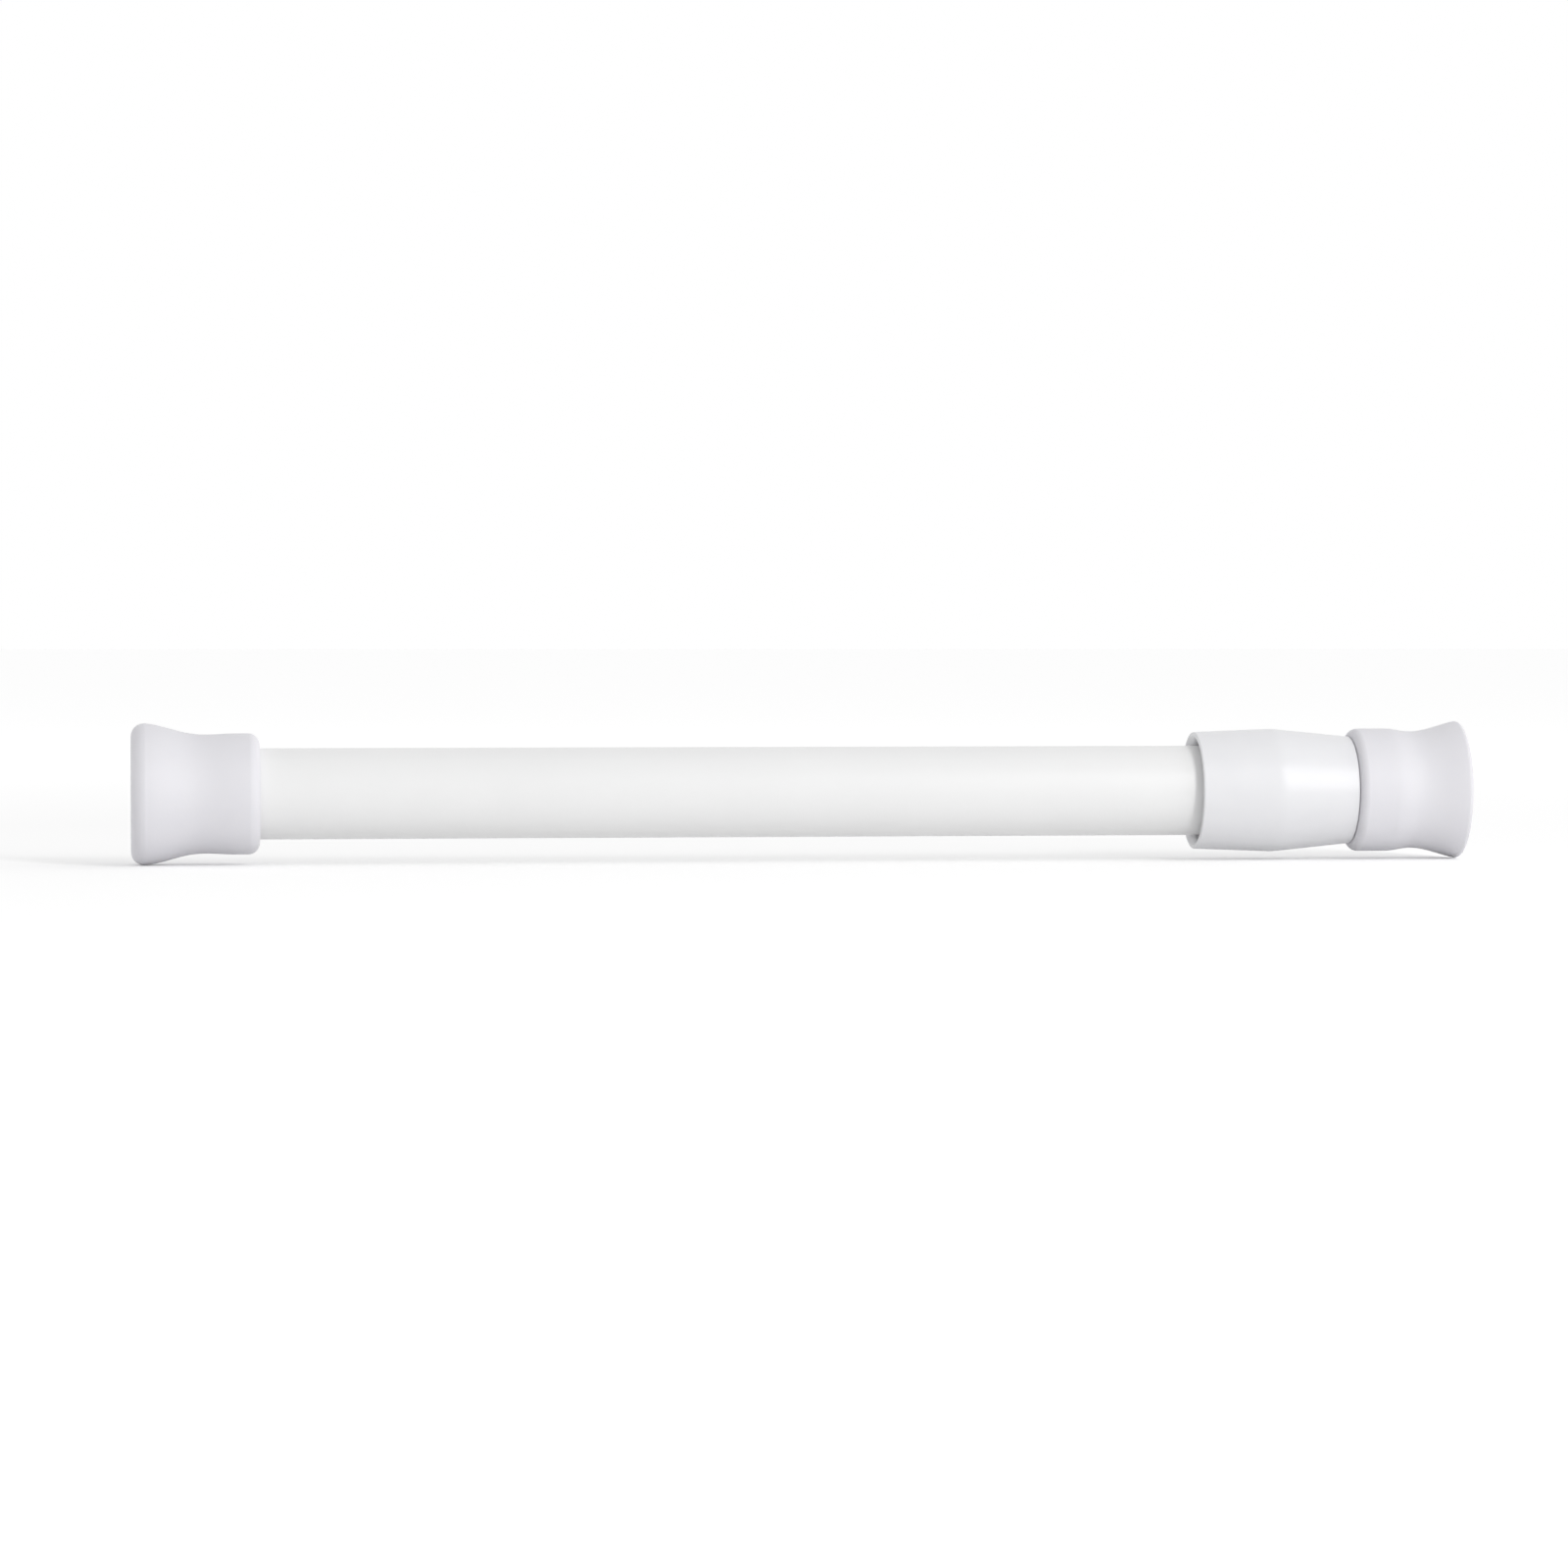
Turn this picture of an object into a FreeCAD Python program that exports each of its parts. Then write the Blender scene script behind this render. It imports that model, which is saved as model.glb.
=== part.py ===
# Spring tension rod: two telescoping steel tubes that press themselves apart between two walls.
# The outer tube wears a flared soft foot and a two-cone sleeve over its mouth.
# The inner tube slides out of that sleeve and wears a shorter flared foot.
# Inside, a quarter turn of the inner tube throws a split ring off centre against the outer tube,
# and a coil spring then pushes the inner tube away from that ring.
#
# Frame: millimetres, +X along the rod from the fixed foot's wall face to the sliding foot, +Z up.
# The origin is the middle of the fixed foot's wall face.
# The rod is modelled pushed shut, unlocked, with its spring at rest on its stop.
import FreeCAD
import Part

import math
import os

# Outer tube, the fixed half
outer_tube_d = 16.0
outer_tube_wall = 0.6
shown_tube_length = 166.4

# Inner tube, the sliding half
tube_gap = 0.9
inner_tube_wall = 0.5
guide_overlap = 36.4

# Fixed foot on the outer tube, walls measured outward from the tube
left_foot_length = 22.4
left_face_wall = 4.4
left_waist_wall = 2.55
left_waist_place = 10.8
left_rim_wall = 2.6
left_rim_band = 2.0
left_lip_round = 2.3
left_lip_slope = 0.1
left_rim_round = 2.0

# Sliding foot on the inner tube, walls measured outward from the tube
right_foot_length = 20.0
right_face_wall = 5.8
right_waist_wall = 4.0
right_waist_place = 9.5
right_rim_wall = 4.5
right_rim_band = 5.1
right_lip_round = 0.5
right_lip_slope = 0.25
right_rim_round = 1.5

# Both feet
foot_floor = 4.5
socket_lead_in = 0.4
face_disc_r = 4.2
face_groove_width = 1.0
face_groove_pitch = 2.2
face_groove_depth = 0.5
face_groove_count = 2

# Sleeve over the outer tube's mouth
sleeve_length = 28.5
sleeve_mouth_wall = 2.45
sleeve_ridge_wall = 3.0
sleeve_ridge_place = 14.4
sleeve_nose_wall = 2.9
sleeve_nose_length = 7.2
sleeve_nose_round = 0.25
sleeve_mouth_round = 0.3
sleeve_mouth_lip = 0.6
sleeve_mouth_recess = 1.5
sleeve_bore_clearance = 0.2
closing_gap = 0.1

# Twist lock: an eccentric journal turns inside a split ring
lock_twist_deg = 90.0
cam_offset = 0.5
lock_wall_clearance = 0.04
lock_ring_length = 8.0
lock_ring_slit = 1.2
lock_ring_chamfer = 0.4
journal_d = 8.0
journal_clearance = 0.05
journal_end_play = 0.2
cam_disc_thickness = 2.5
cam_disc_chamfer = 0.5
cam_end_gap = 3.0

# Spring plunger
spring_travel = 20.0
travel_margin = 0.5
stem_sides = 6
stem_across_flats = 6.5
stem_clearance = 0.1
seat_gap = 0.2
seat_thickness = 2.0
seat_boss_length = 3.0
screw_shank_d = 2.9
screw_shank_length = 12.0
screw_head_d = 5.5
screw_head_height = 2.0

# Coil spring
spring_length = 75.0
spring_wire_d = 1.0
spring_turns = 10
spring_side_clearance = 0.4
spring_boss_clearance = 0.3
spring_wire_sides = 6

# Bush and plug that the inner tube is crimped on
bush_flange_thickness = 2.0
bush_flange_clearance = 0.2
bush_length = 12.0
plug_length = 8.0
plug_boss_length = 4.0
crimp_depth = 0.45
crimp_flat = 0.6
crimp_slope = 0.7

# Stop ring in the inner tube's rolled groove
stop_ring_length = 5.6
stop_ring_slit = 1.5
stop_ring_clearance = 0.1
stop_ring_end_play = 0.2
stop_groove_depth = 0.5
stop_groove_slope = 0.5
stop_clearance = 0.3

# Radii that follow from the tubes
outer_r = outer_tube_d / 2
outer_bore_r = outer_r - outer_tube_wall
inner_r = outer_bore_r - tube_gap
inner_bore_r = inner_r - inner_tube_wall
lock_throw = 2 * cam_offset * math.sin(math.radians(lock_twist_deg) / 2)
lock_ring_r = outer_bore_r - lock_throw - lock_wall_clearance
spring_outer_r = inner_bore_r - stop_groove_depth - spring_side_clearance
spring_inner_r = spring_outer_r - spring_wire_d
spring_boss_r = spring_inner_r - spring_boss_clearance

# Places along the rod, from the fixed foot's wall face
sleeve_left = left_foot_length + shown_tube_length
sleeve_right = sleeve_left + sleeve_length
outer_tube_right = sleeve_right - sleeve_nose_length
right_foot_left = sleeve_right + closing_gap
rod_length = right_foot_left + right_foot_length
inner_tube_right = rod_length - foot_floor
cam_left = foot_floor + cam_end_gap
journal_left = cam_left + cam_disc_thickness
journal_right = journal_left + lock_ring_length + 2 * journal_end_play
stem_left = journal_right + cam_disc_thickness
bush_left = stem_left + spring_travel + travel_margin
inner_tube_left = bush_left + bush_flange_thickness
bush_right = inner_tube_left + bush_length
seat_left = bush_right + seat_gap
seat_right = seat_left + seat_thickness
plug_left = seat_right + spring_length
plug_right = plug_left + plug_length
stop_ring_right = inner_tube_left + guide_overlap
stop_ring_left = stop_ring_right - stop_ring_length
extension = outer_tube_right - stop_clearance - stop_ring_right

AXIS_START = FreeCAD.Vector(0, 0, 0)
AXIS_X = FreeCAD.Vector(1, 0, 0)


def at(x, r):
    """A point of a turned outline: x along the rod, r out from its axis."""
    return FreeCAD.Vector(x, 0, r)


def lines(*points):
    """Straight edges through the points."""
    return [Part.LineSegment(a, b).toShape() for a, b in zip(points, points[1:])]


def rounded(start, end, centre):
    """A circular edge from start to end about centre, the short way round."""
    radius = (start - centre).Length
    middle = (start - centre) + (end - centre)
    return Part.Arc(start, centre + middle.normalize() * radius, end).toShape()


def swept_curve(*points, fall=0):
    """A smooth edge through the points that leaves falling at a slope and arrives parallel to the rod."""
    curve = Part.BSplineCurve()
    curve.interpolate(Points=list(points), InitialTangent=at(1, -fall), FinalTangent=AXIS_X)
    return curve.toShape()


def turned(edges):
    """The solid that a closed outline sweeps about the rod's axis."""
    return Part.Face(Part.Wire(edges)).revolve(AXIS_START, AXIS_X, 360)


def disc(x, length, radius, z=0):
    """A round bar along the rod from x, its own axis z above the rod's."""
    return Part.makeCylinder(radius, length, FreeCAD.Vector(x, 0, z), AXIS_X)


def keyed_bar(x, length, across_flats):
    """A bar along the rod from x with the stem's flat sides."""
    step = 2 * math.pi / stem_sides
    corner_r = across_flats / 2 / math.cos(step / 2)
    corners = [
        FreeCAD.Vector(x, corner_r * math.cos(i * step), corner_r * math.sin(i * step))
        for i in range(stem_sides + 1)
    ]
    return Part.Face(Part.makePolygon(corners)).extrude(AXIS_X * length)


def dented_line(x_start, x_end, radius, dents):
    """Points of a tube wall line with rolled-in dents, each (middle, flat, slope, depth)."""
    points = [at(x_start, radius)]
    for middle, flat, slope, depth in dents:
        points.append(at(middle - flat / 2 - slope, radius))
        points.append(at(middle - flat / 2, radius - depth))
        points.append(at(middle + flat / 2, radius - depth))
        points.append(at(middle + flat / 2 + slope, radius))
    points.append(at(x_end, radius))
    return points


def crimp(middle):
    """The dent that holds a moulded piece in the inner tube."""
    return (middle, crimp_flat, crimp_slope, crimp_depth)


bush_crimp = crimp((inner_tube_left + bush_right) / 2)
plug_crimp = crimp((plug_left + plug_right) / 2)
stop_groove = (
    (stop_ring_left + stop_ring_right) / 2,
    stop_ring_length + 2 * stop_ring_end_play,
    stop_groove_slope,
    stop_groove_depth,
)


def foot(
    length, socket_r, face_wall, waist_wall, waist_place, rim_wall, rim_band, lip_round, lip_slope, rim_round
):
    """A flared foot with its wall face at x 0 and its socket opening towards +X."""
    face_r = socket_r + face_wall
    rim_r = socket_r + rim_wall
    lip_crown = at(lip_round, face_r)
    band_start = at(length - rim_round - rim_band, rim_r)
    rim_crown = at(length - rim_round, rim_r)
    face_end = at(0, face_r - lip_round)
    rim_end = at(length, rim_r - rim_round)

    face = [at(0, 0)]
    for i in range(face_groove_count):
        groove_r = face_disc_r + i * face_groove_pitch
        face.append(at(0, groove_r))
        face.append(at(face_groove_depth, groove_r))
        face.append(at(face_groove_depth, groove_r + face_groove_width))
        face.append(at(0, groove_r + face_groove_width))
    face.append(face_end)

    outline = lines(*face)
    outline.append(rounded(face_end, lip_crown, at(lip_round, face_r - lip_round)))
    outline.append(swept_curve(lip_crown, at(waist_place, socket_r + waist_wall), band_start, fall=lip_slope))
    outline += lines(band_start, rim_crown)
    outline.append(rounded(rim_crown, rim_end, at(length - rim_round, rim_r - rim_round)))
    outline += lines(
        rim_end,
        at(length, socket_r + socket_lead_in),
        at(length - socket_lead_in, socket_r),
        at(foot_floor, socket_r),
        at(foot_floor, 0),
        at(0, 0),
    )
    return turned(outline)


def left_foot():
    """The fixed foot, pushed over the outer tube's closed end."""
    return foot(
        length=left_foot_length,
        socket_r=outer_r,
        face_wall=left_face_wall,
        waist_wall=left_waist_wall,
        waist_place=left_waist_place,
        rim_wall=left_rim_wall,
        rim_band=left_rim_band,
        lip_round=left_lip_round,
        lip_slope=left_lip_slope,
        rim_round=left_rim_round,
    )


def right_foot():
    """The sliding foot, turned round to face the other wall."""
    solid = foot(
        length=right_foot_length,
        socket_r=inner_r,
        face_wall=right_face_wall,
        waist_wall=right_waist_wall,
        waist_place=right_waist_place,
        rim_wall=right_rim_wall,
        rim_band=right_rim_band,
        lip_round=right_lip_round,
        lip_slope=right_lip_slope,
        rim_round=right_rim_round,
    )
    solid.rotate(AXIS_START, FreeCAD.Vector(0, 0, 1), 180)
    solid.translate(AXIS_X * rod_length)
    return solid


def outer_tube():
    """Plain welded tube from the foot's floor to the sleeve's shoulder."""
    length = outer_tube_right - foot_floor
    return disc(foot_floor, length, outer_r).cut(disc(foot_floor, length, outer_bore_r))


def joint_sleeve():
    """Two cones back to back with a recessed mouth, bored for both tubes."""
    mouth_r = outer_r + sleeve_mouth_wall
    ridge_r = outer_r + sleeve_ridge_wall
    bore_r = inner_r + sleeve_bore_clearance
    nose_r = bore_r + sleeve_nose_wall
    recess_r = mouth_r - sleeve_mouth_lip
    recess_x = sleeve_left + sleeve_mouth_recess
    ridge_x = sleeve_left + sleeve_ridge_place
    mouth_crown = at(sleeve_left + sleeve_mouth_round, mouth_r)
    mouth_end = at(sleeve_left, mouth_r - sleeve_mouth_round)
    nose_crown = at(sleeve_right - sleeve_nose_round, nose_r)
    nose_end = at(sleeve_right, nose_r - sleeve_nose_round)

    outline = [rounded(mouth_end, mouth_crown, at(sleeve_left + sleeve_mouth_round, mouth_end.z))]
    outline += lines(mouth_crown, at(ridge_x, ridge_r), nose_crown)
    outline.append(rounded(nose_crown, nose_end, at(nose_crown.x, nose_end.z)))
    outline += lines(
        nose_end,
        at(sleeve_right, bore_r),
        at(outer_tube_right, bore_r),
        at(outer_tube_right, outer_r),
        at(recess_x, outer_r),
        at(sleeve_left, recess_r),
        mouth_end,
    )
    return turned(outline)


def inner_tube():
    """Tube with rolled dents for the bush, the stop ring and the spring's plug."""
    dents = [bush_crimp, stop_groove, plug_crimp]
    outside = dented_line(inner_tube_left, inner_tube_right, inner_r, dents)
    inside = dented_line(inner_tube_left, inner_tube_right, inner_bore_r, dents)
    return turned(lines(*outside, *reversed(inside), outside[0]))


def guide_bush():
    """Flanged bush in the inner tube's end, with a six-sided hole that keys the plunger's stem."""
    flange_r = outer_bore_r - bush_flange_clearance
    outside = dented_line(inner_tube_left, bush_right, inner_bore_r, [bush_crimp])
    body = turned(
        lines(
            at(bush_left, 0),
            at(bush_left, flange_r),
            at(inner_tube_left, flange_r),
            *outside,
            at(bush_right, 0),
            at(bush_left, 0),
        )
    )
    hole = keyed_bar(bush_left, bush_right - bush_left, stem_across_flats + 2 * stem_clearance)
    return body.cut(hole)


def spring_plug():
    """Plug that the spring's far end pushes on, with a boss that centres the coils."""
    boss_left = plug_left - plug_boss_length
    return turned(
        lines(
            at(boss_left, 0),
            at(boss_left, spring_boss_r),
            at(plug_left, spring_boss_r),
            *dented_line(plug_left, plug_right, inner_bore_r, [plug_crimp]),
            at(plug_right, 0),
            at(boss_left, 0),
        )
    )


def split_ring(x, length, radius, bore_r, bore_z, slit):
    """A ring cut through on its upper side, its bore bore_z above its own axis."""
    ring = disc(x, length, radius).cut(disc(x, length, bore_r, bore_z))
    corner = FreeCAD.Vector(x, -slit / 2, 0)
    return ring.cut(Part.makeBox(length, slit, radius, corner))


def stop_ring():
    """Ring that rides in the inner tube's groove and meets the sleeve's shoulder at full length."""
    bore_r = inner_r - stop_groove_depth + stop_ring_clearance
    ring_r = outer_bore_r - stop_ring_clearance
    return split_ring(stop_ring_left, stop_ring_length, ring_r, bore_r, 0, stop_ring_slit)


def chamfered_bar(x, length, radius, chamfer):
    """A round bar along the rod from x with both edges taken off."""
    return turned(
        lines(
            at(x, 0),
            at(x, radius - chamfer),
            at(x + chamfer, radius),
            at(x + length - chamfer, radius),
            at(x + length, radius - chamfer),
            at(x + length, 0),
            at(x, 0),
        )
    )


def lock_ring():
    """Split ring that the eccentric journal throws against the outer tube."""
    x = journal_left + journal_end_play
    bore_r = journal_d / 2 + journal_clearance
    ring = split_ring(x, lock_ring_length, lock_ring_r, bore_r, cam_offset, lock_ring_slit)
    return ring.common(chamfered_bar(x, lock_ring_length, lock_ring_r, lock_ring_chamfer))


def cam_shaft():
    """One moulding: two discs, the eccentric journal between them and the six-sided stem."""
    discs = [
        chamfered_bar(x, cam_disc_thickness, lock_ring_r, cam_disc_chamfer)
        for x in (cam_left, journal_right)
    ]
    journal = disc(journal_left, journal_right - journal_left, journal_d / 2, cam_offset)
    stem = keyed_bar(stem_left, seat_left - stem_left, stem_across_flats)
    shaft = discs[0].multiFuse([journal, discs[1], stem]).removeSplitter()
    return shaft.cut(disc(screw_tip(), seat_left - screw_tip(), screw_shank_d / 2))


def screw_tip():
    """Where the screw through the spring's seat ends inside the stem."""
    return seat_right + seat_boss_length - screw_shank_length


def spring_seat():
    """Washer on the stem's end that stops against the bush and carries the spring."""
    washer = disc(seat_left, seat_thickness, inner_bore_r - stop_groove_depth - stop_ring_clearance)
    boss = disc(seat_right, seat_boss_length, spring_boss_r)
    hole = disc(seat_left, seat_thickness + seat_boss_length, screw_shank_d / 2)
    return washer.fuse(boss).removeSplitter().cut(hole)


def seat_screw():
    """Self-tapping screw that holds the seat on the stem."""
    head_left = seat_right + seat_boss_length
    shank = disc(screw_tip(), screw_shank_length, screw_shank_d / 2)
    return shank.fuse(disc(head_left, screw_head_height, screw_head_d / 2)).removeSplitter()


def spring():
    """Open coil spring between the seat and the plug, of a few-sided wire."""
    coil_r = (spring_outer_r + spring_inner_r) / 2
    height = spring_length - spring_wire_d
    pitch = height / spring_turns
    path = Part.Wire(Part.makeHelix(pitch, height, coil_r).Edges)
    along = FreeCAD.Vector(0, 2 * math.pi * coil_r, pitch).normalize()
    upward = AXIS_X.cross(along)
    corners = []
    for i in range(spring_wire_sides + 1):
        turn = 2 * math.pi * i / spring_wire_sides
        spoke = AXIS_X * math.cos(turn) + upward * math.sin(turn)
        corners.append(AXIS_X * coil_r + spoke * (spring_wire_d / 2))
    coil = path.makePipeShell([Part.makePolygon(corners)], True, True)
    coil.rotate(AXIS_START, FreeCAD.Vector(0, 1, 0), 90)
    coil.translate(AXIS_X * (seat_right + spring_wire_d / 2))
    return coil


PIECES = {
    "left_foot": left_foot,
    "outer_tube": outer_tube,
    "joint_sleeve": joint_sleeve,
    "stop_ring": stop_ring,
    "inner_tube": inner_tube,
    "right_foot": right_foot,
    "guide_bush": guide_bush,
    "spring_plug": spring_plug,
    "spring": spring,
    "cam_shaft": cam_shaft,
    "spring_seat": spring_seat,
    "seat_screw": seat_screw,
    "lock_ring": lock_ring,
}

os.makedirs("parts", exist_ok=True)
for name, make in PIECES.items():
    solid = make()
    solid.exportStep(os.path.join("parts", name + ".step"))
    print(name, "valid" if solid.isValid() else "NOT VALID", len(solid.Solids), round(solid.Volume, 1))
print("closed length", rod_length, "extension", round(extension, 3))
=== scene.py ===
import math

import bpy
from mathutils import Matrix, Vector


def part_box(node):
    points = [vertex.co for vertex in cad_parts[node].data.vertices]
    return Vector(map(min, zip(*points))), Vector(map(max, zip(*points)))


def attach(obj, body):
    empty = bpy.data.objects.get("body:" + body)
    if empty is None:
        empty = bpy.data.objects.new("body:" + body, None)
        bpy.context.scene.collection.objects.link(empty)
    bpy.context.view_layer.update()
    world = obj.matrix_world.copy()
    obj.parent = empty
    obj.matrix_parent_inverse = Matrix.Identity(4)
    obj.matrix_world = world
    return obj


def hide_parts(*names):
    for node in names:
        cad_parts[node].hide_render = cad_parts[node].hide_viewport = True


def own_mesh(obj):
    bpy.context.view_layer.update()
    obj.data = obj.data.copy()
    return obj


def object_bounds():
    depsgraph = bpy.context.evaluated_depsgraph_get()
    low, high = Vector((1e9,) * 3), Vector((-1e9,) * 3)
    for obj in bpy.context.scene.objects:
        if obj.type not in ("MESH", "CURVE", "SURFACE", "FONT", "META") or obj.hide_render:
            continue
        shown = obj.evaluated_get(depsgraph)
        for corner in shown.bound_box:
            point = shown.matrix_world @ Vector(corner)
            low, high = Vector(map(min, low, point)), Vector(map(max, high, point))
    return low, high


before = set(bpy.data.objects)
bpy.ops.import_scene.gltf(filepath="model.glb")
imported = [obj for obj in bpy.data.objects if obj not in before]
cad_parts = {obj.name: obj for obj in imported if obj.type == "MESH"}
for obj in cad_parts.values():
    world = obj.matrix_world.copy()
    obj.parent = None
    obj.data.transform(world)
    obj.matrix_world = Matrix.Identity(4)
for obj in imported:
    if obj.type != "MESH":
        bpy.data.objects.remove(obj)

cad_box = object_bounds()
MM = 0.001


def reach(node):
    """Where a solid starts and ends along the rod, and its largest radius, in millimetres."""
    low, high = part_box(node)
    return low[0] / MM, high[0] / MM, high[1] / MM


# Sizes read from the solids
left_start, left_end, left_face_r = reach("left_foot")
outer_start, outer_end, outer_r = reach("outer_tube")
sleeve_start, sleeve_end, sleeve_ridge_r = reach("joint_sleeve")
inner_start, inner_end, inner_r = reach("inner_tube")
right_start, right_end, right_face_r = reach("right_foot")
rod_middle = right_end / 2
ring_start, ring_end = reach("stop_ring")[:2]
spring_start, spring_end, spring_r = reach("spring")
bush_end = reach("guide_bush")[1]
plug_end = reach("spring_plug")[1]

# Sizes of the feet, in millimetres
FOOT_FLOOR = 4.5
SOCKET_LEAD_IN = 0.4
SOCKET_EASE = 0.12
LEFT_WAIST_PLACE = 10.8
LEFT_WAIST_R = 10.55
LEFT_RIM_R = 10.6
LEFT_RIM_BAND = 2.0
LEFT_LIP_ROUND = 2.3
LEFT_LIP_SLOPE = 0.1
LEFT_RIM_ROUND = 2.0
RIGHT_WAIST_PLACE = 9.5
RIGHT_WAIST_R = 10.5
RIGHT_RIM_R = 11.0
RIGHT_RIM_BAND = 5.1
RIGHT_LIP_ROUND = 0.5
RIGHT_LIP_SLOPE = 0.25
RIGHT_RIM_ROUND = 1.5
GATE_R = 1.1
GATE_DEPTH = 0.3
GATE_EASE = 0.12
GRIP_DISC_R = 4.2
GRIP_WIDTH = 1.0
GRIP_PITCH = 2.2
GRIP_DEPTH = 0.5
GRIP_RINGS = 2
GRIP_EASE = 0.15
FLASH_WIDTH = 0.4
FLASH_HEIGHT = 0.04
FLASH_EASE = FLASH_WIDTH / 3

# Sizes of the tubes and the sleeve, in millimetres
OUTER_WALL = 0.6
INNER_WALL = 0.5
TUBE_EDGE_EASE = 0.12
SEAM_WIDTH = 1.4
SEAM_HEIGHT = 0.05
CRIMP_FLAT = 0.6
CRIMP_SLOPE = 0.7
CRIMP_DEPTH = 0.45
STOP_GROOVE_PLAY = 0.2
STOP_GROOVE_SLOPE = 0.5
STOP_GROOVE_DEPTH = 0.5
SLEEVE_MOUTH_R = 10.45
SLEEVE_MOUTH_EASE = 0.3
SLEEVE_MOUTH_LIP = 0.6
SLEEVE_MOUTH_RECESS = 1.5
SLEEVE_RIDGE_PLACE = 14.4
SLEEVE_RIDGE_EASE = 0.8
SLEEVE_NOSE_R = 9.58
SLEEVE_NOSE_EASE = 0.25
SLEEVE_BORE_CLEARANCE = 0.2
SLEEVE_BORE_EASE = 0.12

# Sizes of the spring and its plug, in millimetres
SPRING_WIRE_D = 1.0
SPRING_TURNS = 10
PLUG_LENGTH = 8.0

# Where the weld seam lies round the tube, in degrees: low on the side away from the room
SEAM_ANGLE = -50

# Spacing and depth of the finishes' patterns, in millimetres
PEEL_SPACING = 1.1
PEEL_DEPTH = 0.012
COAT_CLOUD = 14
RUB_SPACING = 0.7
VINYL_GRAIN = 0.45
VINYL_GRAIN_DEPTH = 0.015
VINYL_CLOUD = 9
FLOW_SPACING = 6
FLOW_DEPTH = 0.03
NYLON_GRAIN = 0.8
WIRE_STREAK = 0.6
ZINC_BLOOM = 0.5

# Rub lines on the sliding tube: how many times as long as wide they are, the heights of the noise where
# a line starts and is full, how strong they are, and what they add to the roughness
RUB_STRETCH = 50
RUB_STARTS = 0.52
RUB_FULL = 0.72
RUB_STRENGTH = 0.3
RUB_DULLING = 0.15

# Camera round the rod's middle, as the photograph's was: degrees, metres and a lens in millimetres
CAMERA_AZIMUTH = -7.3
CAMERA_ELEVATION = 1.6
CAMERA_DISTANCE = 0.92
CAMERA_LENS = 119.05
AIM_SIDE = -0.0037
AIM_RISE = 0.0014

# Light round the rod: shares of full white, powers in watts, sizes and places in metres.
# The key is tall and narrow, so the rod is lit softly from top to bottom and the sleeve's shade is crisp.
LEFT_LIGHT = 0.28
RIGHT_LIGHT = 1.06
KEY_PLACE = (0.70, -1.00, 0.48)
KEY_WIDTH = 0.22
KEY_HEIGHT = 0.9
KEY_POWER = 5.6
FILL_PLACE = (-0.85, 0.32, 0.12)
FILL_SIZE = 0.6
FILL_POWER = 1.9

# Floor: its half width in metres, and the glow that makes it white where it is seen, in shares of full
# white. The glow grows from the near to the far distance from the rod's fixed end, in metres.
FLOOR_HALF = 20.0
GLOW_NEAR = 0.20
GLOW_FAR = 0.34
LAMPLIT_NEAR = 0.2
LAMPLIT_FAR = 0.8

# Fineness of the meshes: steps in a rounded corner, half a flare, a dent's slope, a full turn, round the
# wire and in one coil
ROUND_STEPS = 8
FLARE_STEPS = 28
SLOPE_STEPS = 6
TURN_STEPS = 192
WIRE_STEPS = 16
COIL_STEPS = 72

# Points of an outline that are closer than this, in millimetres, are one
SAME_POINT = 0.001


def eased(corners):
    """Points of an outline whose corners, each (x, r, ease), are rounded that far back from the corner."""
    points = []
    for i, (x, r, ease) in enumerate(corners):
        corner = Vector((x, r))
        if not ease:
            points.append(corner)
            continue
        before = (Vector(corners[i - 1][:2]) - corner).normalized()
        after = (Vector(corners[(i + 1) % len(corners)][:2]) - corner).normalized()
        half = before.angle(after) / 2
        centre = corner + (before + after).normalized() * (ease / math.cos(half))
        start = corner + before * ease - centre
        end = corner + after * ease - centre
        for step in range(ROUND_STEPS + 1):
            points.append(centre + start.slerp(end, step / ROUND_STEPS) * start.length)
    apart = [(point - last).length > SAME_POINT for last, point in zip(points, points[1:])]
    return points[:1] + [point for point, kept in zip(points[1:], apart) if kept]


def flare(crown, waist, rim, fall):
    """Corners along the smooth line that falls from a foot's crown to its waist and runs out to its rim."""
    first = waist[0] - crown[0]
    second = rim[0] - waist[0]
    bend = 3 * ((waist[1] - crown[1]) / first ** 2 + (rim[1] - waist[1]) / second ** 2)
    slope = (bend + fall / first) / 2 / (1 / first + 1 / second)
    corners = []
    for start, end, start_slope, end_slope in ((crown, waist, -fall, slope), (waist, rim, slope, 0)):
        length = end[0] - start[0]
        for step in range(1, FLARE_STEPS + 1):
            t = step / FLARE_STEPS
            rise = (end[1] - start[1]) * (3 * t ** 2 - 2 * t ** 3)
            lean = length * (start_slope * (t - 2 * t ** 2 + t ** 3) + end_slope * (t ** 3 - t ** 2))
            corners.append((start[0] + length * t, start[1] + rise + lean, 0))
    return corners


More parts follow.
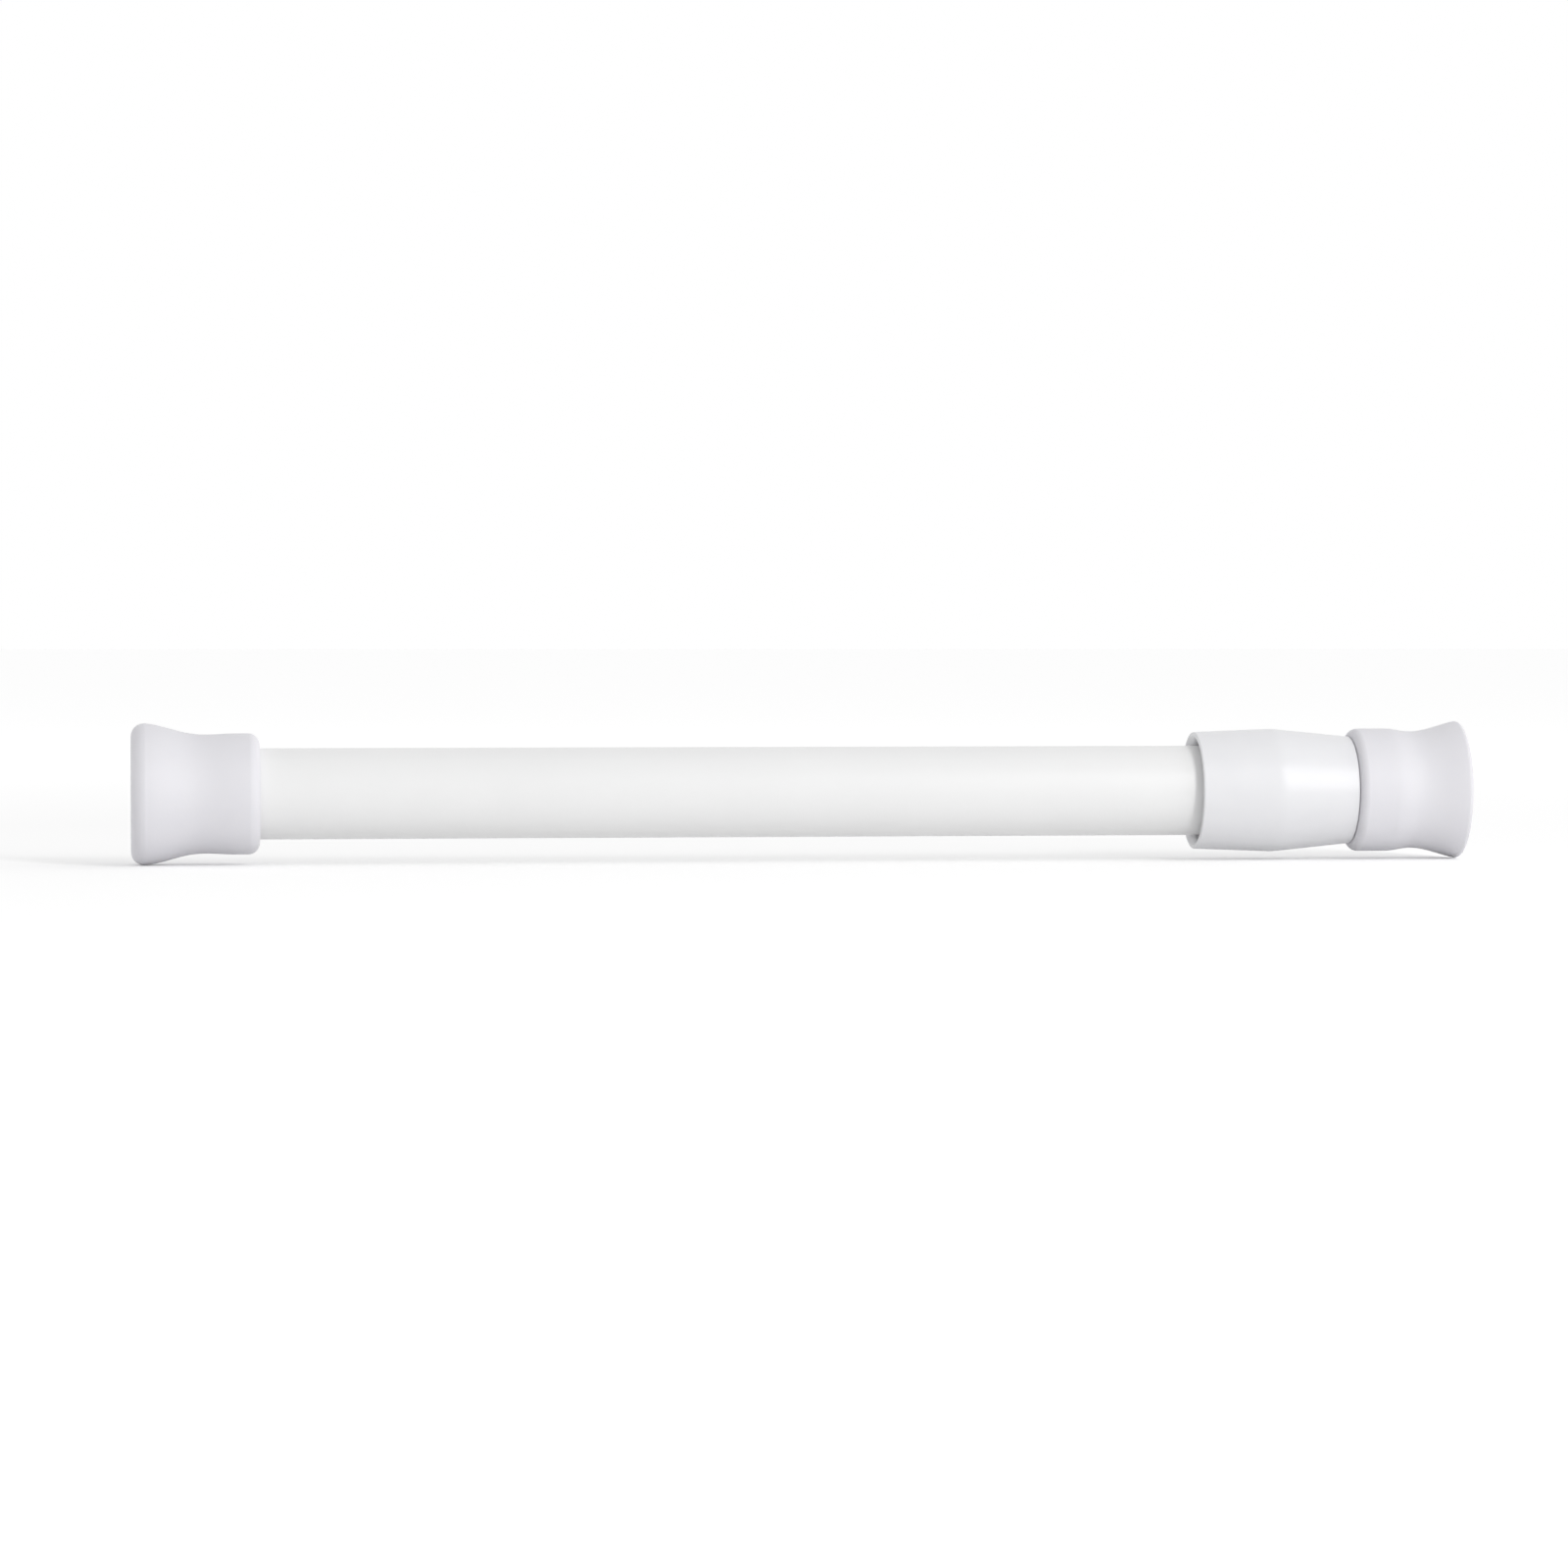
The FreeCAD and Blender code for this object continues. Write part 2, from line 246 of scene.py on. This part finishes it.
def foot_outline(
    length, socket_r, face_r, waist_place, waist_r, rim_r, rim_band, lip_round, lip_slope, rim_round
):
    """Half section of a foot from the middle of its wall face round to the floor of its socket."""
    corners = [(GATE_DEPTH, 0, 0), (GATE_DEPTH, GATE_R, GATE_EASE), (0, GATE_R + GATE_DEPTH, GATE_EASE)]
    for ring in range(GRIP_RINGS):
        inner = GRIP_DISC_R + ring * GRIP_PITCH
        outer = inner + GRIP_WIDTH
        corners += [(x, r, GRIP_EASE) for x, r in ((0, inner), (GRIP_DEPTH, inner))]
        corners += [(x, r, GRIP_EASE) for x, r in ((GRIP_DEPTH, outer), (0, outer))]
    crown_r = face_r - FLASH_HEIGHT
    corners.append((0, crown_r, lip_round))
    corners.append((lip_round + FLASH_WIDTH / 2, face_r, FLASH_EASE))
    crown = (lip_round + FLASH_WIDTH, crown_r)
    band_start = (length - rim_round - rim_band, rim_r)
    corners += flare(crown, (waist_place, waist_r), band_start, lip_slope)
    corners.append((length, rim_r, rim_round))
    corners.append((length, socket_r + SOCKET_LEAD_IN, SOCKET_EASE))
    corners.append((length - SOCKET_LEAD_IN, socket_r, SOCKET_EASE))
    corners.append((FOOT_FLOOR, socket_r, 0))
    corners.append((FOOT_FLOOR, 0, 0))
    return eased(corners)


def dented(start, end, radius, dents):
    """Corners along a tube wall with rolled-in dents, each (middle, flat, slope, depth)."""
    corners = [(start, radius, 0)]
    for middle, flat, slope, depth in dents:
        for side in (-1, 1):
            for step in range(SLOPE_STEPS + 1):
                t = step / SLOPE_STEPS if side < 0 else 1 - step / SLOPE_STEPS
                sunk = depth * (3 * t ** 2 - 2 * t ** 3)
                corners.append((middle + side * (flat / 2 + slope * (1 - t)), radius - sunk, 0))
    corners.append((end, radius, 0))
    return corners


def finished(name, vertices, faces, material, body, node):
    """Makes a smooth piece of a mesh in metres, and has it stand for its solid."""
    mesh = bpy.data.meshes.new(name)
    mesh.from_pydata(vertices, [], faces)
    mesh.shade_smooth()
    mesh.materials.append(material)
    piece = bpy.data.objects.new(name, mesh)
    bpy.context.scene.collection.objects.link(piece)
    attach(piece, body)
    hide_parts(node)
    return piece


def turned(name, outline, material, body, node, swell=None):
    """Turns an outline about the rod's axis; swell gives how far the wall stands out at an angle."""
    vertices, rings = [], []
    for x, r in outline:
        if r == 0:
            rings.append([len(vertices)] * TURN_STEPS)
            vertices.append((x * MM, 0, 0))
            continue
        rings.append(range(len(vertices), len(vertices) + TURN_STEPS))
        for step in range(TURN_STEPS):
            angle = 2 * math.pi * step / TURN_STEPS
            out = (r + (swell(angle) if swell else 0)) * MM
            vertices.append((x * MM, out * math.cos(angle), out * math.sin(angle)))
    on_axis = outline[0][1] == 0
    pairs = list(zip(rings, rings[1:])) + ([] if on_axis else [(rings[-1], rings[0])])
    faces = []
    for first, second in pairs:
        for step in range(TURN_STEPS):
            following = (step + 1) % TURN_STEPS
            corners = (first[step], second[step], second[following], first[following])
            face = tuple(dict.fromkeys(corners))
            if len(face) > 2:
                faces.append(face)
    piece = finished(name, vertices, faces, material, body, node)
    piece.modifiers.new("even_shading", "WEIGHTED_NORMAL")


def linear(hex_colour):
    """An sRGB hex colour as the linear values a shader takes."""
    channels = [int(hex_colour[i:i + 2], 16) / 255 for i in (1, 3, 5)]
    return [c / 12.92 if c <= 0.04045 else ((c + 0.055) / 1.055) ** 2.4 for c in channels] + [1]


def add(tree, kind, inputs=None, out=None, **settings):
    """Adds one shader node with its settings and links, and gives the output that the next node takes."""
    made = tree.nodes.new(kind)
    for key, value in settings.items():
        setattr(made, key, value)
    for key, value in (inputs or {}).items():
        socket = [s for i, s in enumerate(made.inputs) if s.enabled and key in (i, s.name)][0]
        if isinstance(value, bpy.types.NodeSocket):
            tree.links.new(value, socket)
        else:
            socket.default_value = value
    return next((s for s in made.outputs if s.enabled and out in (None, s.name)), None)


def new_material(name):
    """An empty material and its node tree."""
    material = bpy.data.materials.new(name)
    material.use_nodes = True
    material.node_tree.nodes.clear()
    return material, material.node_tree


def per_mm(size):
    """Scale of a pattern whose features are this many millimetres apart."""
    return 1 / (size * MM)


def powder_coated_steel(name, rubbed):
    """Steel tube under baked white powder: an even satin skin with faint orange peel.

    Sliding leaves dull grey lines along the tube, as strong as rubbed, from 0 to 1. Real lines are as
    fine as a hair, and these are drawn wider so that they show.
    """
    material, tree = new_material(name)
    place = add(tree, "ShaderNodeTexCoord", out="Object")
    peel = add(tree, "ShaderNodeTexNoise", {"Vector": place, "Scale": per_mm(PEEL_SPACING), "Detail": 2.0})
    cloud = add(tree, "ShaderNodeTexNoise", {"Vector": place, "Scale": per_mm(COAT_CLOUD), "Detail": 3.0})
    clean = add(tree, "ShaderNodeMix", {
        "Factor": cloud, "A": linear("#EEEEEE"), "B": linear("#F2F2F2"),
    }, data_type="RGBA")
    drawn_out = add(tree, "ShaderNodeMapping", {"Vector": place, "Scale": (1 / RUB_STRETCH, 1, 1)})
    streak = add(tree, "ShaderNodeTexNoise", {
        "Vector": drawn_out, "Scale": per_mm(RUB_SPACING), "Detail": 4.0,
    })
    rub = add(tree, "ShaderNodeMapRange", {
        "Value": streak, "From Min": RUB_STARTS, "From Max": RUB_FULL, "To Max": rubbed,
    })
    tone = add(tree, "ShaderNodeMix", {"Factor": rub, "A": clean, "B": linear("#CFCFCE")}, data_type="RGBA")
    satin = add(tree, "ShaderNodeMapRange", {
        "Value": peel, "To Min": 0.30, "To Max": 0.40,
    })
    gloss = add(tree, "ShaderNodeMath", {0: rub, 1: RUB_DULLING, 2: satin}, operation="MULTIPLY_ADD")
    bump = add(tree, "ShaderNodeBump", {
        "Height": peel, "Distance": PEEL_DEPTH * MM, "Strength": 0.6,
    })
    skin = add(tree, "ShaderNodeBsdfPrincipled", {
        "Base Color": tone,
        "Roughness": gloss,
        "Normal": bump,
        "IOR": 1.5,
    })
    add(tree, "ShaderNodeOutputMaterial", {"Surface": skin})
    return material


def moulded_soft_vinyl():
    """Plasticised vinyl from a sparked mould: matte, a little translucent, cool white.

    The mould's grain is drawn coarser than the real one, of about 0.1 mm, so that it shows.
    """
    material, tree = new_material("moulded_soft_vinyl")
    place = add(tree, "ShaderNodeTexCoord", out="Object")
    grain = add(tree, "ShaderNodeTexNoise", {"Vector": place, "Scale": per_mm(VINYL_GRAIN), "Detail": 2.0})
    cloud = add(tree, "ShaderNodeTexNoise", {"Vector": place, "Scale": per_mm(VINYL_CLOUD), "Detail": 3.0})
    tone = add(tree, "ShaderNodeMix", {
        "Factor": cloud, "A": linear("#E2E1E6"), "B": linear("#E7E6EA"),
    }, data_type="RGBA")
    gloss = add(tree, "ShaderNodeMapRange", {
        "Value": grain, "To Min": 0.48, "To Max": 0.60,
    })
    bump = add(tree, "ShaderNodeBump", {
        "Height": grain, "Distance": VINYL_GRAIN_DEPTH * MM, "Strength": 0.5,
    })
    skin = add(tree, "ShaderNodeBsdfPrincipled", {
        "Base Color": tone,
        "Roughness": gloss,
        "Normal": bump,
        "IOR": 1.53,
        "Subsurface Weight": 0.12,
        "Subsurface Radius": (1.0, 0.95, 0.9),
        "Subsurface Scale": 1.2 * MM,
    })
    add(tree, "ShaderNodeOutputMaterial", {"Surface": skin})
    return material


def moulded_polypropylene():
    """White polypropylene from a polished mould: smooth, half gloss, faintly waxy."""
    material, tree = new_material("moulded_polypropylene")
    place = add(tree, "ShaderNodeTexCoord", out="Object")
    flow = add(tree, "ShaderNodeTexNoise", {"Vector": place, "Scale": per_mm(FLOW_SPACING), "Detail": 3.0})
    tone = add(tree, "ShaderNodeMix", {
        "Factor": flow, "A": linear("#E7E7EA"), "B": linear("#ECECEE"),
    }, data_type="RGBA")
    gloss = add(tree, "ShaderNodeMapRange", {
        "Value": flow, "To Min": 0.28, "To Max": 0.40,
    })
    bump = add(tree, "ShaderNodeBump", {
        "Height": flow, "Distance": FLOW_DEPTH * MM, "Strength": 0.3,
    })
    skin = add(tree, "ShaderNodeBsdfPrincipled", {
        "Base Color": tone,
        "Roughness": gloss,
        "Normal": bump,
        "IOR": 1.49,
        "Subsurface Weight": 0.08,
        "Subsurface Radius": (1.0, 0.97, 0.94),
        "Subsurface Scale": 0.8 * MM,
    })
    add(tree, "ShaderNodeOutputMaterial", {"Surface": skin})
    return material


def moulded_nylon():
    """Unpigmented nylon as it leaves the mould: ivory, dull and a little see-through at thin edges."""
    material, tree = new_material("moulded_nylon")
    place = add(tree, "ShaderNodeTexCoord", out="Object")
    grain = add(tree, "ShaderNodeTexNoise", {"Vector": place, "Scale": per_mm(NYLON_GRAIN), "Detail": 3.0})
    tone = add(tree, "ShaderNodeMix", {
        "Factor": grain, "A": linear("#DED8C6"), "B": linear("#E8E3D4"),
    }, data_type="RGBA")
    gloss = add(tree, "ShaderNodeMapRange", {
        "Value": grain, "To Min": 0.38, "To Max": 0.52,
    })
    skin = add(tree, "ShaderNodeBsdfPrincipled", {
        "Base Color": tone,
        "Roughness": gloss,
        "IOR": 1.53,
        "Subsurface Weight": 0.2,
        "Subsurface Radius": (1.0, 0.9, 0.7),
        "Subsurface Scale": 1.5 * MM,
    })
    add(tree, "ShaderNodeOutputMaterial", {"Surface": skin})
    return material


def bare_steel(name, dark, light, dullest, brightest, grain):
    """Uncoated steel with fine streaks of two tones, drawn coarser than real ones so that they show."""
    material, tree = new_material(name)
    place = add(tree, "ShaderNodeTexCoord", out="Object")
    streak = add(tree, "ShaderNodeTexNoise", {"Vector": place, "Scale": per_mm(grain), "Detail": 3.0})
    tone = add(tree, "ShaderNodeMix", {
        "Factor": streak, "A": linear(dark), "B": linear(light),
    }, data_type="RGBA")
    gloss = add(tree, "ShaderNodeMapRange", {
        "Value": streak, "To Min": dullest, "To Max": brightest,
    })
    skin = add(tree, "ShaderNodeBsdfPrincipled", {
        "Base Color": tone,
        "Roughness": gloss,
        "Metallic": 1.0,
    })
    add(tree, "ShaderNodeOutputMaterial", {"Surface": skin})
    return material


coated = powder_coated_steel("powder_coated_steel", 0)
slid_on = powder_coated_steel("powder_coated_steel_rubbed_by_sliding", RUB_STRENGTH)
vinyl = moulded_soft_vinyl()
polypropylene = moulded_polypropylene()
nylon = moulded_nylon()
# Spring wire drawn through a die: grey, bright, lightly streaked.
drawn_wire = bare_steel(
    "drawn_spring_wire", dark="#8C8E91", light="#B4B6B8", dullest=0.36, brightest=0.22, grain=WIRE_STREAK,
)
# Screw plated with bright zinc: cool silver with a thin bloom.
zinc = bare_steel(
    "zinc_plated_steel", dark="#B9BEC4", light="#D3D7DC", dullest=0.34, brightest=0.24, grain=ZINC_BLOOM,
)


def weld_seam(angle):
    """How far the tube's welded seam stands out under its coat at an angle round the tube."""
    turn = (angle - math.radians(SEAM_ANGLE) + math.pi) % (2 * math.pi) - math.pi
    across = abs(turn) * outer_r / (SEAM_WIDTH / 2)
    return SEAM_HEIGHT * (1 + math.cos(math.pi * across)) / 2 if across < 1 else 0


def left_foot():
    """Flared foot on the outer tube's end, with a moulder's gate mark in the middle of its wall face."""
    outline = foot_outline(
        left_end - left_start, outer_r, left_face_r,
        LEFT_WAIST_PLACE, LEFT_WAIST_R, LEFT_RIM_R, LEFT_RIM_BAND,
        LEFT_LIP_ROUND, LEFT_LIP_SLOPE, LEFT_RIM_ROUND,
    )
    turned("fixed_foot", outline, vinyl, "outer_half", "left_foot")


def right_foot():
    """Shorter flared foot on the inner tube's end, turned to face the other wall."""
    outline = foot_outline(
        right_end - right_start, inner_r, right_face_r,
        RIGHT_WAIST_PLACE, RIGHT_WAIST_R, RIGHT_RIM_R, RIGHT_RIM_BAND,
        RIGHT_LIP_ROUND, RIGHT_LIP_SLOPE, RIGHT_RIM_ROUND,
    )
    facing_right = [(right_end - x, r) for x, r in reversed(outline)]
    turned("sliding_foot", facing_right, vinyl, "inner_half", "right_foot")


def outer_tube():
    """Welded tube that reaches from the fixed foot's floor to the sleeve's shoulder."""
    bore_r = outer_r - OUTER_WALL
    corners = ((outer_start, bore_r), (outer_start, outer_r), (outer_end, outer_r), (outer_end, bore_r))
    outline = eased([(x, r, TUBE_EDGE_EASE) for x, r in corners])
    turned("long_tube", outline, coated, "outer_half", "outer_tube", weld_seam)


def joint_sleeve():
    """Two cones back to back whose countersunk mouth leaves a dark line round the tube."""
    ridge_x = sleeve_start + SLEEVE_RIDGE_PLACE
    recess_x = sleeve_start + SLEEVE_MOUTH_RECESS
    recess_r = SLEEVE_MOUTH_R - SLEEVE_MOUTH_LIP
    bore_r = inner_r + SLEEVE_BORE_CLEARANCE
    outline = eased([
        (sleeve_start, SLEEVE_MOUTH_R, SLEEVE_MOUTH_EASE),
        (ridge_x, sleeve_ridge_r, SLEEVE_RIDGE_EASE),
        (sleeve_end, SLEEVE_NOSE_R, SLEEVE_NOSE_EASE),
        (sleeve_end, bore_r, SLEEVE_BORE_EASE),
        (outer_end, bore_r, 0),
        (outer_end, outer_r, 0),
        (recess_x, outer_r, 0),
        (sleeve_start, recess_r, SLEEVE_BORE_EASE),
    ])
    turned("mouth_sleeve", outline, polypropylene, "outer_half", "joint_sleeve")


def inner_tube():
    """Tube that slides out, with crimps over the bush and the plug and a groove for the stop ring."""
    crimps = ((inner_start + bush_end) / 2, plug_end - PLUG_LENGTH / 2)
    dents = [(middle, CRIMP_FLAT, CRIMP_SLOPE, CRIMP_DEPTH) for middle in crimps]
    groove_flat = ring_end - ring_start + 2 * STOP_GROOVE_PLAY
    groove = ((ring_start + ring_end) / 2, groove_flat, STOP_GROOVE_SLOPE, STOP_GROOVE_DEPTH)
    dents.insert(1, groove)
    outside = dented(inner_start, inner_end, inner_r, dents)
    inside = dented(inner_start, inner_end, inner_r - INNER_WALL, dents)
    outline = [(x, r) for x, r, ease in outside + inside[::-1]]
    turned("slide_tube", outline, slid_on, "inner_half", "inner_tube")


def coil_spring():
    """Round drawn wire wound between the seat and the plug, as long as the spring's solid; the real spring
    shortens as the plunger comes in.
    """
    wire_r = SPRING_WIRE_D / 2
    coil_r = spring_r - wire_r
    first = spring_start + wire_r
    rise = (spring_end - spring_start - SPRING_WIRE_D) / SPRING_TURNS
    steps = SPRING_TURNS * COIL_STEPS
    vertices = []
    for step in range(steps + 1):
        turn = 2 * math.pi * step / COIL_STEPS
        out = Vector((0, math.sin(turn), -math.cos(turn)))
        along = Vector((rise, 2 * math.pi * coil_r * math.cos(turn), 2 * math.pi * coil_r * math.sin(turn)))
        side = along.normalized().cross(out)
        middle = Vector((first + rise * step / COIL_STEPS, 0, 0)) + out * coil_r
        for corner in range(WIRE_STEPS):
            angle = 2 * math.pi * corner / WIRE_STEPS
            vertices.append((middle + (out * math.cos(angle) + side * math.sin(angle)) * wire_r) * MM)
    faces = []
    for step in range(steps):
        for corner in range(WIRE_STEPS):
            following = (corner + 1) % WIRE_STEPS
            here, there = step * WIRE_STEPS, (step + 1) * WIRE_STEPS
            faces.append((here + corner, here + following, there + following, there + corner))
    faces.append(tuple(reversed(range(WIRE_STEPS))))
    faces.append(tuple(range(steps * WIRE_STEPS, (steps + 1) * WIRE_STEPS)))
    coil = finished("coil_spring", vertices, faces, drawn_wire, "inner_half", "spring")
    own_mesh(coil)


left_foot()
right_foot()
outer_tube()
joint_sleeve()
inner_tube()
coil_spring()
for node in ("stop_ring", "guide_bush", "spring_plug", "cam_shaft", "spring_seat", "lock_ring"):
    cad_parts[node].material_slots[0].material = nylon
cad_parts["seat_screw"].material_slots[0].material = zinc


def photograph_camera():
    """A long lens in front of the rod's left end."""
    azimuth = math.radians(CAMERA_AZIMUTH)
    elevation = math.radians(CAMERA_ELEVATION)
    level = Vector((math.sin(azimuth), -math.cos(azimuth), 0))
    back = level * math.cos(elevation) + Vector((0, 0, math.sin(elevation)))
    aim = Vector((rod_middle * MM + AIM_SIDE, 0, AIM_RISE))
    camera = bpy.data.objects.new("camera", bpy.data.cameras.new("camera"))
    camera.data.lens = CAMERA_LENS
    camera.location = aim + back * CAMERA_DISTANCE
    camera.rotation_mode = "QUATERNION"
    camera.rotation_quaternion = (-back).to_track_quat("-Z", "Y")
    bpy.context.scene.collection.objects.link(camera)
    bpy.context.scene.camera = camera


def soft_light(name, place, width, height, power):
    """A soft box that faces the rod's middle."""
    lamp = bpy.data.lights.new(name, "AREA")
    lamp.shape = "RECTANGLE"
    lamp.size = width
    lamp.size_y = height
    lamp.energy = power
    light = bpy.data.objects.new(name, lamp)
    light.location = place
    middle = Vector((rod_middle * MM, 0, 0))
    light.rotation_mode = "QUATERNION"
    light.rotation_quaternion = (middle - Vector(place)).to_track_quat("-Z", "Y")
    bpy.context.scene.collection.objects.link(light)


def seen_directly(tree):
    """One where the camera, a reflection or a refraction looks, and nothing where light is gathered."""
    kinds = ("Is Camera Ray", "Is Glossy Ray", "Is Transmission Ray")
    camera, mirror, glass = [add(tree, "ShaderNodeLightPath", out=kind) for kind in kinds]
    either = add(tree, "ShaderNodeMath", {0: camera, 1: mirror}, operation="MAXIMUM")
    return add(tree, "ShaderNodeMath", {0: either, 1: glass}, operation="MAXIMUM")


def white_surround():
    """White wherever it is seen; the soft light that it gives the rod grows from left to right."""
    world = bpy.data.worlds.new("white_surround")
    world.use_nodes = True
    tree = world.node_tree
    tree.nodes.clear()
    direction = add(tree, "ShaderNodeTexCoord", out="Generated")
    side = add(tree, "ShaderNodeSeparateXYZ", {"Vector": direction}, out="X")
    light = add(tree, "ShaderNodeMapRange", {
        "Value": side, "From Min": -1.0, "From Max": 1.0, "To Min": LEFT_LIGHT, "To Max": RIGHT_LIGHT,
    })
    strength = add(tree, "ShaderNodeMapRange", {
        "Value": seen_directly(tree), "To Min": light, "To Max": 1.0,
    })
    sky = add(tree, "ShaderNodeBackground", {"Color": linear("#FFFFFF"), "Strength": strength})
    add(tree, "ShaderNodeOutputWorld", {"Surface": sky})
    bpy.context.scene.world = world


def white_floor():
    """A wide white sheet under the feet that keeps a faint shadow."""
    material, tree = new_material("white_sheet")
    sheet = add(tree, "ShaderNodeBsdfDiffuse", {"Color": linear("#FAFAFA")})
    # The lamps light the sheet round the rod, so it needs less glow there to look evenly white
    place = add(tree, "ShaderNodeNewGeometry", out="Position")
    distance = add(tree, "ShaderNodeVectorMath", {0: place}, out="Value", operation="LENGTH")
    white = add(tree, "ShaderNodeMapRange", {
        "Value": distance, "From Min": LAMPLIT_NEAR, "From Max": LAMPLIT_FAR,
        "To Min": GLOW_NEAR, "To Max": GLOW_FAR,
    })
    glow = add(tree, "ShaderNodeMath", {0: seen_directly(tree), 1: white}, operation="MULTIPLY")
    lift = add(tree, "ShaderNodeEmission", {"Color": linear("#FFFFFF"), "Strength": glow})
    both = add(tree, "ShaderNodeAddShader", {0: sheet, 1: lift})
    add(tree, "ShaderNodeOutputMaterial", {"Surface": both})
    corners = [(x, y, cad_box[0][2]) for x, y in ((-1, -1), (1, -1), (1, 1), (-1, 1))]
    mesh = bpy.data.meshes.new("floor")
    mesh.from_pydata([(x * FLOOR_HALF, y * FLOOR_HALF, z) for x, y, z in corners], [], [(0, 1, 2, 3)])
    mesh.materials.append(material)
    floor = bpy.data.objects.new("floor", mesh)
    bpy.context.scene.collection.objects.link(floor)


bpy.context.scene.view_settings.view_transform = "Standard"
photograph_camera()
white_surround()
white_floor()
soft_light("key", KEY_PLACE, KEY_WIDTH, KEY_HEIGHT, KEY_POWER)
soft_light("fill", FILL_PLACE, FILL_SIZE, FILL_SIZE, FILL_POWER)
